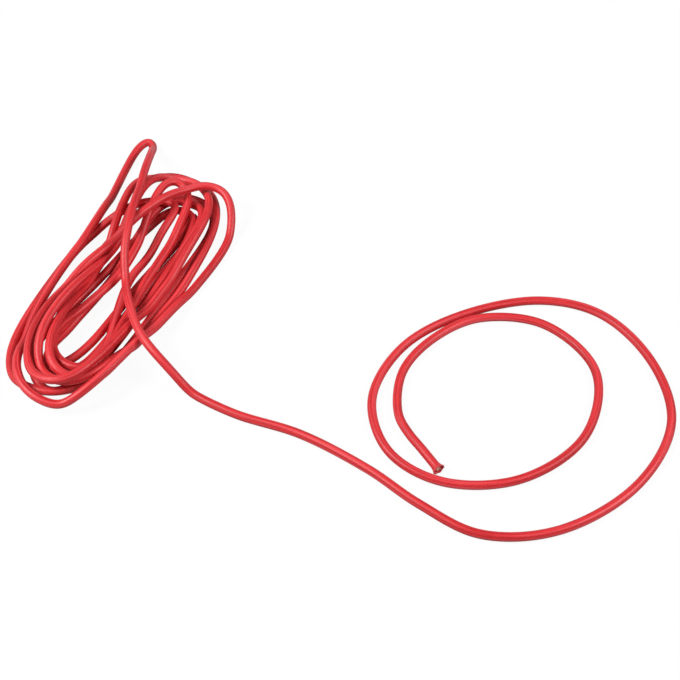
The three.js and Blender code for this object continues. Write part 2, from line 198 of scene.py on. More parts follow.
@dataclass
class CordRoute:
    """The cord's centreline, from the end that the hank hides to the end that shows."""

    diameter: float = 0.0054
    # How far apart crossing stretches lie
    lay_gap: float = 0.00012
    end_length: float = 0.0174
    mouth_radius: float = 0.00325
    half_length: float = 0.100
    half_width: float = 0.040
    middle: Pair = (-0.127, 0.026)
    axis_degrees: float = 63.0
    start_side_share: float = 0.0
    start_turn_share: float = 0.1
    fold_degrees: float = 35.0
    step: float = 0.001
    hump_radius: float = 0.040
    # In steps: a hump's reach and level top, and how far the means that round humps and bends go
    hump_reach: int = 46
    hump_flat: int = 4
    hump_blur: int = 10
    bend_blur: int = 5
    laid_at_once: int = 6
    curve_samples: int = 60

    # Reach along the hank, the tip's place across it, and half the breadth near the tip
    top_folds: tuple[Triple, ...] = (
        (0.56, 0.0, 0.12), (0.62, -0.01, 0.3), (0.71, -0.02, 0.36),
        (0.79, -0.04, 0.56), (0.6, -0.2, 0.31), (0.765, -0.3, 0.3),
        (0.925, -0.45, 0.6), (0.875, -0.35, 0.53), (0.83, 0.33, 0.53),
    )
    bottom_folds: tuple[Triple, ...] = (
        (0.84, -0.4, 0.34), (0.86, -0.08, 0.33), (0.98, -0.05, 0.43),
        (1.03, -0.22, 0.7), (0.81, 0.12, 0.34), (0.89, 0.17, 0.44),
        (0.95, 0.13, 0.54), (1.0, 0.06, 0.43), (1.09, 0.075, 0.73),
    )
    # Where a run lies across the hank at the middle, and how far its upper half leans to the right
    right_runs: tuple[Pair, ...] = (
        (0.1, 0.04), (0.26, 0.04), (0.4, 0.0),
        (0.6, -0.03), (-0.05, -0.16), (0.22, -0.12),
        (0.745, -0.02), (0.55, -0.02), (0.895, 0.06),
    )
    left_runs: tuple[Pair, ...] = (
        (-0.52, 0.06), (-0.36, -0.02), (-0.84, 0.0),
        (-1.22, 0.0), (-0.24, 0.02), (-0.64, -0.2),
        (-0.55, -0.05), (-0.63, 0.28), (-1.15, -0.06),
    )

    # Places that the free stretch passes over
    free_stretch: tuple[Pair, ...] = (
        (-0.1645, 0.054), (-0.1548, 0.08), (-0.1486, 0.1073), (-0.1386, 0.1435), (-0.1346, 0.151),
        (-0.1307, 0.1544), (-0.1275, 0.1515), (-0.1263, 0.1425), (-0.1252, 0.122), (-0.1302, 0.058),
        (-0.1321, 0.025), (-0.1256, -0.008), (-0.1136, -0.036), (-0.091, -0.0583), (-0.06, -0.077),
        (-0.02, -0.092), (0.0195, -0.1165), (0.047, -0.139), (0.08, -0.1584), (0.124, -0.156),
        (0.172, -0.126), (0.1975, -0.082), (0.191, -0.036), (0.165, -0.001), (0.129, 0.0096),
        (0.0782, -0.0025), (0.041, -0.028), (0.022, -0.067), (0.031, -0.104), (0.0603, -0.1243),
        (0.105, -0.123), (0.1455, -0.0933), (0.157, -0.045), (0.1295, -0.0098), (0.0902, -0.0047),
        (0.0611, -0.0203), (0.041, -0.046), (0.0373, -0.0774), (0.0433, -0.092), (0.0498, -0.1021),
    )

    points: Array = field(init=False)
    join: int = field(init=False)
    shift: Array = field(init=False)

    def __post_init__(self) -> None:
        """Works out the whole line and lays it down."""
        hank = self.hank_plan()
        free = self.free_plan(hank)
        hank = np.vstack([self.straight_end(hank[1], hank[0])[::-1], hank])
        free = np.vstack([free, self.straight_end(free[-2], free[-1])])
        plan = self.rounded(evenly_spaced(np.vstack([hank, free]), self.step))
        self.join = int(round(arc_lengths(hank)[-1] / self.step))
        height = self.laid_heights(plan)
        self.points = np.column_stack([plan, height])
        self.shift = self.shift_to_solid()
        self.points[:, :2] += self.shift

    @property
    def radius(self) -> float:
        """Gives half the cord's diameter."""
        return self.diameter / 2.0

    def hank_plan(self) -> Array:
        """Draws the hank's loops from above.

        Along the hank a loop's place is its reach times the turn's cosine. Across it, the place is
        the middle of the two runs plus half their distance times the turn's sine, drawn to the tip at
        a fold by the cosine squared, plus a third wave that swells the fold to its own breadth and a
        second wave that leans a run.

        Returns:
            The line's points, in the plane.
        """
        folds = np.array([fold for pair in zip(self.top_folds, self.bottom_folds) for fold in pair])
        rights, right_leans = np.array(self.right_runs).T
        lefts, left_leans = np.array(self.left_runs).T
        # Folds lie at half turns, and runs a quarter turn after them
        leans = np.concatenate([[0.0], np.column_stack([right_leans, -left_leans]).reshape(-1)])
        last_turn = len(self.right_runs) - 0.25
        count = int(round((last_turn - self.start_turn_share) * 4.0 * self.half_length / self.step))
        turn = np.linspace(self.start_turn_share, last_turn, count + 1)
        angle = 2.0 * np.pi * turn
        reach, tip, breadth = (eased(column, 2.0 * turn) for column in folds.T)
        right = eased(rights, turn - 0.25)
        left = eased(np.append(self.start_side_share, lefts), turn + 0.25)
        lean = eased(leans, 2.0 * turn + 0.5)
        middle, half = (right + left) / 2.0, (right - left) / 2.0
        fold_angle = math.radians(self.fold_degrees)
        fold_sine = math.sin(fold_angle)
        swell = (breadth - half * fold_sine) / (fold_sine + math.sin(3.0 * fold_angle))
        along = self.half_length * reach * np.cos(angle)
        across = self.half_width * (
            middle
            + half * np.sin(angle)
            + (tip - middle) * np.cos(angle) ** 2
            + swell * (np.sin(angle) + np.sin(3.0 * angle))
            + lean * np.sin(2.0 * angle)
        )
        axis = math.radians(self.axis_degrees)
        return np.column_stack([
            self.middle[0] + along * math.cos(axis) + across * math.sin(axis),
            self.middle[1] + along * math.sin(axis) - across * math.cos(axis),
        ])

    def free_plan(self, hank: Array) -> Array:
        """Draws the free stretch from above, from the hank's last point on.

        Args:
            hank: the hank's points.

        Returns:
            The points after the hank's last one.
        """
        lead = hank[len(hank) - int(round(self.diameter / self.step))]
        through = np.vstack([lead, hank[-1], np.array(self.free_stretch)])
        return smooth_through(through, self.curve_samples)[self.curve_samples + 1 :]

    def straight_end(self, before: Array, last: Array) -> Array:
        """Carries a line straight on past its last point.

        Args:
            before: the point before the last.
            last: the last point.

        Returns:
            The points of the straight piece, without the last point itself.
        """
        count = int(math.ceil(self.end_length / self.step))
        return last + unit(last - before) * np.linspace(0.0, self.end_length, count + 1)[1:, None]

    def rounded(self, plan: Array) -> Array:
        """Rounds the tight bends: each point becomes the weighted mean of its near neighbours.

        Args:
            plan: the line's points from above.

        Returns:
            As many points. The straight ends stay as they are.
        """
        weights = mean_weights(self.bend_blur)
        inner = np.stack([np.convolve(column, weights, mode="valid") for column in plan.T], axis=1)
        return np.vstack([plan[: self.bend_blur], inner, plan[-self.bend_blur :]])

    def hump(self, need: Array) -> Array:
        """Bends the cord over what it has to clear.

        Each needed height is held for a short way, then hangs away as a parabola of the hump's
        radius, and the highest of all these at a point is its height. A short weighted mean rounds
        the corners.

        Args:
            need: the least height at each point.

        Returns:
            The height at each point.
        """
        count, reach = len(need), self.hump_reach
        padded = np.pad(need, reach + self.hump_flat, mode="edge")
        height = need.copy()
        for offset in range(-reach - self.hump_flat, reach + self.hump_flat + 1):
            beyond = max(abs(offset) - self.hump_flat, 0) * self.step
            start = reach + self.hump_flat + offset
            hanging = padded[start : start + count] - beyond**2 / (2.0 * self.hump_radius)
            height = np.maximum(height, hanging)
        held = np.pad(height, self.hump_blur, mode="edge")
        return np.convolve(held, mean_weights(self.hump_blur), mode="valid")

    def laid_heights(self, plan: Array) -> Array:
        """Lays the cord down in order, each point on the surface or on what lies under it.

        The flared mouths are wider than the cord, so both ends lie a little higher than the rest.
        A point that crosses an older one at the distance d from above has to lie higher than it by
        the square root of (reach squared - d squared), where the reach is a diameter and the gap.

        Args:
            plan: the line's points from above.

        Returns:
            The height of each point.
        """
        count, reach = len(plan), self.diameter + self.lay_gap
        late = self.hump_reach + self.hump_flat + self.hump_blur
        along = arc_lengths(plan)
        to_end = np.minimum(along, along[-1] - along)
        floor = np.where(to_end < self.end_length, self.mouth_radius, self.radius)
        need, height = floor.copy(), floor.copy()
        for start in range(0, count, self.laid_at_once):
            end, older = min(start + self.laid_at_once, count), start - late
            if older > 0:
                square = ((plan[None, :older] - plan[start:end, None]) ** 2).sum(axis=2)
                lift = np.sqrt(np.maximum(reach**2 - square, 0.0))
                top = np.where(square < reach**2, height[None, :older] + lift, 0.0).max(axis=1)
                need[start:end] = np.maximum(floor[start:end], top)
            # The last 2 * late heights are laid anew, from needs that start late steps earlier
            first = max(0, end - 3 * late)
            keep = 0 if first == 0 else late
            height[first + keep : end] = self.hump(need[first:end])[keep:]
        return height

    def shift_to_solid(self) -> Array:
        """Finds the shift that puts the hank where its solid lies."""
        low, high = (np.array(corner)[:2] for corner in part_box("hank_sheath"))
        hank = self.points[: self.join, :2]
        return (low + high - hank.min(axis=0) - hank.max(axis=0)) / 2.0


@dataclass(frozen=True)
class Nodes:
    """A material's nodes, made and joined by short calls."""

    material: Material

    @classmethod
    def of(cls, name: str) -> Nodes:
        """Starts an empty material of that name."""
        material = bpy.data.materials.new(name)
        material.use_nodes = True
        material.node_tree.nodes.clear()
        return cls(material)

    def put(self, kind: str, inputs: dict[str | int, object] | None = None, **settings: object) -> Node:
        """Adds a node.

        Args:
            kind: the node's type.
            inputs: for each input, a socket to join or a value to set.
            settings: the node's own settings.

        Returns:
            The node.
        """
        node = self.material.node_tree.nodes.new(kind)
        for name, value in settings.items():
            setattr(node, name, value)
        for key, value in (inputs or {}).items():
            self.feed(node.inputs[key], value)
        return node

    def feed(self, socket: NodeSocket, value: object) -> None:
        """Joins an input to a socket, or sets it to a value."""
        if isinstance(value, NodeSocket):
            self.material.node_tree.links.new(value, socket)
        else:
            socket.default_value = value

    def math(self, operation: str, *values: object) -> NodeSocket:
        """Adds a sum of numbers and gives its result."""
        return self.put("ShaderNodeMath", dict(enumerate(values)), operation=operation).outputs[0]

    def point(self, *values: object) -> NodeSocket:
        """Adds a point made of up to three numbers and gives it."""
        return self.put("ShaderNodeCombineXYZ", dict(enumerate(values))).outputs[0]

    def noise(self, place: NodeSocket, scale: float, detail: float) -> NodeSocket:
        """Adds a noise at a place and gives its value."""
        inputs = {"Vector": place, "Scale": scale, "Detail": detail}
        return self.put("ShaderNodeTexNoise", inputs).outputs[0]

    def ramp(self, value: object, steps: Range) -> NodeSocket:
        """Adds a smooth step from one range of numbers to another.

        Args:
            value: the number to carry over.
            steps: the low and high end of its range, then what they become.

        Returns:
            The result.
        """
        inputs = dict(zip(("From Min", "From Max", "To Min", "To Max"), steps), Value=value)
        return self.put("ShaderNodeMapRange", inputs, interpolation_type="SMOOTHSTEP").outputs["Result"]

    def mix(self, share: object, first: object, second: object) -> NodeSocket:
        """Adds a mix of two colours and gives its result."""
        node = self.put("ShaderNodeMix", data_type="RGBA")
        sockets = {"Factor_Float": share, "A_Color": first, "B_Color": second}
        for identifier, value in sockets.items():
            self.feed(next(item for item in node.inputs if item.identifier == identifier), value)
        return next(item for item in node.outputs if item.identifier == "Result_Color")

    def finish(self, shader: Node) -> Material:
        """Joins the shader to the material's output and gives the material."""
        self.put("ShaderNodeOutputMaterial", {"Surface": shader.outputs[0]})
        return self.material


@dataclass(frozen=True)
class BraidFinish:
    """Red yarns braided two over, two under.

    The braid follows the piece's UV map: u goes once round the cord, and v is the distance along it
    in metres.
    """

    yarns_each_way: int = 18
    crossing_length: float = 0.0034
    yarn_roundness: float = 0.6
    yarn_bow: float = 0.45
    yarn_colour: Colour = (0.79, 0.030, 0.037, 1.0)
    # Painted shade between the yarns
    shaded_gap_colour: Colour = (0.46, 0.003, 0.008, 1.0)
    # Pale pink of painted highlight lines along the strongest streaks
    highlight_streak_colour: Colour = (0.88, 0.10, 0.12, 1.0)
    melted_colour: Colour = (0.62, 0.05, 0.06, 1.0)

    # How finely each pattern varies
    fibres_across: float = 9.0
    fibres_along: float = 260.0
    fibre_shift: float = 3.7
    fibre_detail: float = 3.0
    patch_scale: float = 160.0
    patch_detail: float = 2.0
    streaks_around: float = 12.0
    streaks_along: float = 12.0
    streak_detail: float = 2.0
    cell_share: float = 0.37

    # From the first to the second value of a pattern, the light goes from the third to the fourth
    # Painted shade: low yarn height darkens towards the shaded gaps' colour
    height_shade: Range = (0.1, 0.7, 0.6, 1.0)
    fibre_light: Range = (0.3, 0.7, -0.16, 0.1)
    yarn_light: Range = (0.0, 1.0, -0.12, 0.06)
    patch_light: Range = (0.3, 0.7, -0.06, 0.06)
    streak_light: Range = (0.35, 0.6, -0.5, 0.15)
    # Painted highlight lines: where the streaks are strongest, the pale pink colour mixes in
    highlight_streak_share: Range = (0.5, 0.68, 0.0, 0.55)
    fibre_roughness: Range = (0.3, 0.7, 0.39, 0.53)

    relief: float = 0.00010
    relief_strength: float = 0.35
    fibre_relief: float = 0.35
    gloss: float = 0.5
    sheen: float = 0.16
    sheen_roughness: float = 0.45
    sheen_tint: Colour = (1.0, 0.62, 0.64, 1.0)

    def weave(self, nodes: Nodes, around: NodeSocket, along: NodeSocket) -> tuple[NodeSocket, ...]:
        """Works out the braid's pattern.

        With s = yarns * u + v / crossing and t = yarns * u - v / crossing, one set of yarns lies
        between whole values of s and the other between whole values of t. Where
        (floor s + floor t) mod 4 is under 2 the first set is on top, and else the second. A yarn's
        height is round across it, and bows along each stretch between two crossings.

        Args:
            nodes: the material's nodes.
            around: the place round the cord, from 0 to 1.
            along: the place along it in metres.

        Returns:
            The height, the place across the yarn on top, that yarn's number and the crossing's.
        """
        turns = nodes.math("MULTIPLY", around, float(self.yarns_each_way))
        rise = nodes.math("DIVIDE", along, self.crossing_length)
        s, t = nodes.math("ADD", turns, rise), nodes.math("SUBTRACT", turns, rise)
        s_whole, t_whole = nodes.math("FLOOR", s), nodes.math("FLOOR", t)
        s_share, t_share = nodes.math("FRACT", s), nodes.math("FRACT", t)
        cells = nodes.math("ADD", s_whole, t_whole)
        cycle = nodes.math("FLOORED_MODULO", cells, 4.0)
        first_on_top = nodes.math("LESS_THAN", cycle, 1.5)
        second_on_top = nodes.math("SUBTRACT", 1.0, first_on_top)

        def chosen(first: object, second: object) -> NodeSocket:
            """Takes the first value where the first set of yarns is on top, else the second."""
            return nodes.math(
                "ADD",
                nodes.math("MULTIPLY", first, first_on_top),
                nodes.math("MULTIPLY", second, second_on_top),
            )

        across = chosen(s_share, t_share)
        passed = nodes.math("ADD", chosen(t_share, s_share), nodes.math("FLOORED_MODULO", cycle, 2.0))
        run = nodes.math("DIVIDE", passed, 2.0)
        round_across = nodes.math("SINE", nodes.math("MULTIPLY", across, math.pi))
        bow = nodes.math("SINE", nodes.math("MULTIPLY", run, math.pi))
        height = nodes.math(
            "MULTIPLY",
            nodes.math("POWER", round_across, self.yarn_roundness),
            nodes.math("POWER", nodes.math("ABSOLUTE", bow), self.yarn_bow),
        )
        # The half tells the second set's yarns from the first's
        yarn = chosen(s_whole, nodes.math("ADD", t_whole, 0.5))
        return height, across, yarn, cells

    def material(self, name: str) -> Material:
        """Makes the material.

        The lightness is a sum: painted shade where the yarn's height falls into the gaps between yarns,
        fine fibres along it, a tone of its own at each crossing, broad patches, and a noise drawn out
        along the cord as lengthwise streaks. It mixes the colour of the shaded gaps with the yarn's, and
        the strongest streaks turn pale pink as painted highlight lines.

        Args:
            name: the material's name.

        Returns:
            The material.
        """
        nodes = Nodes.of(name)
        uv_map = nodes.put("ShaderNodeUVMap", uv_map=BRAID_MAP).outputs[0]
        place = nodes.put("ShaderNodeSeparateXYZ", {0: uv_map})
        around, along = place.outputs[0], place.outputs[1]
        height, across, yarn, cells = self.weave(nodes, around, along)

        fibre_place = nodes.point(
            nodes.math("MULTIPLY", across, self.fibres_across),
            nodes.math("MULTIPLY", along, self.fibres_along),
            nodes.math("MULTIPLY", yarn, self.fibre_shift),
        )
        fibres = nodes.noise(fibre_place, 1.0, self.fibre_detail)
        own_place = nodes.put("ShaderNodeTexCoord").outputs["Object"]
        patch = nodes.noise(own_place, self.patch_scale, self.patch_detail)
        tone_place = nodes.math("ADD", yarn, nodes.math("MULTIPLY", cells, self.cell_share))
        tone_node = nodes.put("ShaderNodeTexWhiteNoise", {"W": tone_place}, noise_dimensions="1D")
        streak_place = nodes.point(
            nodes.math("MULTIPLY", around, self.streaks_around),
            nodes.math("MULTIPLY", along, self.streaks_along),
        )
        streaks = nodes.noise(streak_place, 1.0, self.streak_detail)

        # Painted shade where the yarns sink into their gaps, plus random fibre, yarn, patch and streak
        # tones
        shade_and_tone = nodes.ramp(height, self.height_shade)
        for pattern, steps in (
            (fibres, self.fibre_light),
            (tone_node.outputs[0], self.yarn_light),
            (patch, self.patch_light),
            (streaks, self.streak_light),
        ):
            shade_and_tone = nodes.math("ADD", shade_and_tone, nodes.ramp(pattern, steps))
        colour = nodes.mix(shade_and_tone, self.shaded_gap_colour, self.yarn_colour)
        # Painted highlight lines: the strongest streaks turn pale pink
        colour = nodes.mix(nodes.ramp(streaks, self.highlight_streak_share), colour, self.highlight_streak_colour)
        melt = nodes.put("ShaderNodeAttribute", attribute_name=MELT_ATTRIBUTE).outputs["Fac"]
        colour = nodes.mix(melt, colour, self.melted_colour)

        raised = nodes.math("ADD", height, nodes.math("MULTIPLY", fibres, self.fibre_relief))
        bump = nodes.put("ShaderNodeBump", {
            "Height": raised,
            "Distance": self.relief,
            "Strength": self.relief_strength,
        })
        shader = nodes.put("ShaderNodeBsdfPrincipled", {
            "Base Color": colour,
            "Roughness": nodes.ramp(fibres, self.fibre_roughness),
            "Specular IOR Level": self.gloss,
            "Sheen Weight": self.sheen,
            "Sheen Roughness": self.sheen_roughness,
            "Sheen Tint": self.sheen_tint,
            "Normal": bump.outputs[0],
        })
        return nodes.finish(shader)


@dataclass(frozen=True)
class RubberFinish:
    """Pale rubber with a fine dusty mottle."""

    light_colour: Colour = (0.95, 0.66, 0.54, 1.0)
    dark_colour: Colour = (0.84, 0.46, 0.37, 1.0)
    mottle_scale: float = 900.0
    mottle_detail: float = 4.0
    mottle_share: Range = (0.35, 0.65, 0.0, 1.0)
    grain_scale: float = 5000.0
    grain_detail: float = 2.0
    grain_roughness: Range = (0.3, 0.7, 0.65, 0.8)
    relief: float = 0.00005
    relief_strength: float = 0.5

    def material(self, name: str) -> Material:
        """Makes the material: a noise on the piece's own place mixes two tones and raises a grain.

        Args:
            name: the material's name.

        Returns:
            The material.
        """
        nodes = Nodes.of(name)
        place = nodes.put("ShaderNodeTexCoord").outputs["Object"]
        mottle = nodes.noise(place, self.mottle_scale, self.mottle_detail)
        grain = nodes.noise(place, self.grain_scale, self.grain_detail)
        share = nodes.ramp(mottle, self.mottle_share)
        bump = nodes.put("ShaderNodeBump", {
            "Height": grain,
            "Distance": self.relief,
            "Strength": self.relief_strength,
        })
        shader = nodes.put("ShaderNodeBsdfPrincipled", {
            "Base Color": nodes.mix(share, self.dark_colour, self.light_colour),
            "Roughness": nodes.ramp(grain, self.grain_roughness),
            "Normal": bump.outputs[0],
        })
        return nodes.finish(shader)


@dataclass(frozen=True)
class FloorFinish:
    """A plain pale surface. The camera sees it mostly as white light, and keeps a share of shadow."""

    colour: Colour = (0.45, 0.45, 0.45, 1.0)
    seen_colour: Colour = (0.98, 0.98, 0.98, 1.0)
    white_share: float = 0.94

    def material(self, name: str) -> Material:
        """Makes the material of that name."""
        nodes = Nodes.of(name)
        seen = nodes.put("ShaderNodeLightPath").outputs["Is Camera Ray"]
        tint = nodes.mix(seen, self.colour, self.seen_colour)
        lit = nodes.put("ShaderNodeBsdfDiffuse", {"Color": tint})
        white = nodes.put("ShaderNodeEmission", {"Color": WHITE, "Strength": 1.0})
        share = nodes.math("MULTIPLY", seen, self.white_share)
        mixed = nodes.put("ShaderNodeMixShader", {0: share, 1: lit.outputs[0], 2: white.outputs[0]})
        return nodes.finish(mixed)


@dataclass
class Surface:
    """A grid of points that closes round each row, with the place of each row along the cord."""

    grid: Array
    along: Array
    closed_rows: bool = False
    melt: Array | None = None

    def faces(self) -> Array:
        """Gives the grid's quads, facing out where rows go forward and columns from up to the side.

        Returns:
            Four corner indices for each quad. With closed rows, the last row joins the first.
        """
        rows, sides = self.grid.shape[:2]
        row = np.arange(rows if self.closed_rows else rows - 1)[:, None]
        column = np.arange(sides)[None, :]
        after, beside = (row + 1) % rows, (column + 1) % sides
        corners = (
            row * sides + column,
            row * sides + beside,
            after * sides + beside,
            after * sides + column,
        )
        return np.stack(corners, axis=2).reshape(-1, 4)

    def caps(self) -> tuple[Array, list[tuple[int, ...]]]:
        """Gives the two pole points and the fans of triangles that close an open grid's ends."""
        rows, sides = self.grid.shape[:2]
        poles = np.stack([self.grid[0].mean(axis=0), self.grid[-1].mean(axis=0)])
        first, last, base = rows * sides, rows * sides + 1, (rows - 1) * sides
        column = np.arange(sides)
        beside = (column + 1) % sides
        fans = [(first, int(b), int(a)) for a, b in zip(column, beside)]
        fans += [(last, int(base + a), int(base + b)) for a, b in zip(column, beside)]
        return poles, fans


def add_object(name: str, data: ID) -> Object:
    """Makes an object and links it to the scene."""
    item = bpy.data.objects.new(name, data)
    bpy.context.scene.collection.objects.link(item)
    return item


def solid_of(name: str, parts: list[Surface], material: Material) -> Object:
    """Makes one piece of one or more closed surfaces.

    The braid's UV map has u once round each row and v along the cord.

    Args:
        name: the piece's name.
        parts: its surfaces.
        material: its finish.

    Returns:
        The piece, linked to the scene.
    """
    points, faces, u_loops, v_loops, melts = [], [], [], [], []
    base = 0
    for part in parts:
        rows, sides = part.grid.shape[:2]
        quads = part.faces()
        points.append(part.grid.reshape(-1, 3))
        melts.append(np.zeros(rows * sides) if part.melt is None else part.melt.reshape(-1))
        column = quads[:, 0] % sides
        u_loops.append(np.stack([column, column + 1, column + 1, column], axis=1).reshape(-1) / sides)
        v_loops.append(part.along[quads // sides].reshape(-1))
        faces.extend((quads + base).tolist())
        if not part.closed_rows:
            poles, fans = part.caps()
            points.append(poles)
            melts.append(np.zeros(len(poles)))
            faces.extend([tuple(index + base for index in fan) for fan in fans])
            fan_u = [(0.5, b % sides / sides, a % sides / sides) for _, b, a in fans]
            u_loops.append(np.array(fan_u).reshape(-1))
            v_loops.append(np.repeat([part.along[0], part.along[-1]], 3 * sides))
            base += len(poles)
        base += rows * sides
    mesh = bpy.data.meshes.new(name)
    mesh.from_pydata(np.vstack(points).tolist(), [], faces)
    corner_places = np.column_stack([np.concatenate(u_loops), np.concatenate(v_loops)])
    mesh.uv_layers.new(name=BRAID_MAP).data.foreach_set("uv", corner_places.reshape(-1))
    attribute = mesh.attributes.new(MELT_ATTRIBUTE, "FLOAT", "POINT")
    attribute.data.foreach_set("value", np.concatenate(melts))
    mesh.polygons.foreach_set("use_smooth", np.ones(len(mesh.polygons), dtype=bool))
    mesh.materials.append(material)
    mesh.update()
    # The flat end of a tube doesn't shade its side
    mesh.set_sharp_from_angle(angle=math.radians(SHARP_EDGE_DEGREES))
    piece = add_object(name, mesh)
    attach(piece, "root")
    LOG.info("%s: %d faces", name, len(mesh.polygons))
    return piece


def rings(points: Array, radius: float | Array, sides: int) -> Array:
    """Carries a circle along a line.

    Args:
        points: the circles' centres.
        radius: one radius for all, or one for each circle.
        sides: how many points each circle has.

    Returns:
        A grid of points, one row a circle: centre + radius * (up * cos + side * sin), started at the
        underside.
    """
    up, side = level_frames(points)
    angle = np.pi + 2.0 * np.pi * np.arange(sides) / sides
    out = up[:, None] * np.cos(angle)[None, :, None] + side[:, None] * np.sin(angle)[None, :, None]
    return points[:, None] + out * np.broadcast_to(radius, len(points))[:, None, None]


def spaced_rows(count: int, every: int) -> Array:
    """Gives the numbers of every so many rows out of a count, and always the last."""
    return np.unique(np.append(np.arange(0, count, every), count - 1))


@dataclass
class CordStretch:
    """A stretch of the cord: the hollow braided sheath and the rubber core inside it."""

    name: str
    route: CordRoute
    start: float
    end: float
    lay: str
    bore_radius: float = 0.0020
    core_radius: float = 0.00195
    ring_step: float = 0.001
    sides: int = 20
    inner_every: int = 4
    core_every: int = 3
    core_sides: int = 12

    def line(self) -> tuple[Array, Array]:
        """Gives the stretch's centres and their distance along the whole cord."""
        count = int(round((self.end - self.start) / self.ring_step))
        wanted = np.linspace(self.start, self.end, count + 1)
        return points_at(self.route.points, wanted), wanted

    def build(self, sheath: Material, rubber: Material) -> tuple[Object, Object, Array]:
        """Builds the sheath and the core.

        Args:
            sheath: the braid's material.
            rubber: the core's material.

        Returns:
            The sheath, the core and the points of the centreline.
        """
        centres, along = self.line()
        outer = rings(centres, self.route.radius, self.sides)
        inner_rows = spaced_rows(len(centres), self.inner_every)[::-1]
        inner = rings(centres, self.bore_radius, self.sides)[inner_rows]
        shell_along = np.concatenate([along, along[inner_rows]])
        shell = Surface(np.concatenate([outer, inner]), shell_along, closed_rows=True)
        sheath_piece = solid_of(f"{self.name}_braid", [shell], sheath)
        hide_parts(f"{self.name}_sheath")
        core_rows = spaced_rows(len(centres), self.core_every)
        core_line = centres[core_rows]
        core = Surface(rings(core_line, self.core_radius, self.core_sides), along[core_rows])
        core_piece = solid_of(f"{self.name}_rubber", [core], rubber)
        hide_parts(f"{self.name}_core")
        return sheath_piece, core_piece, centres


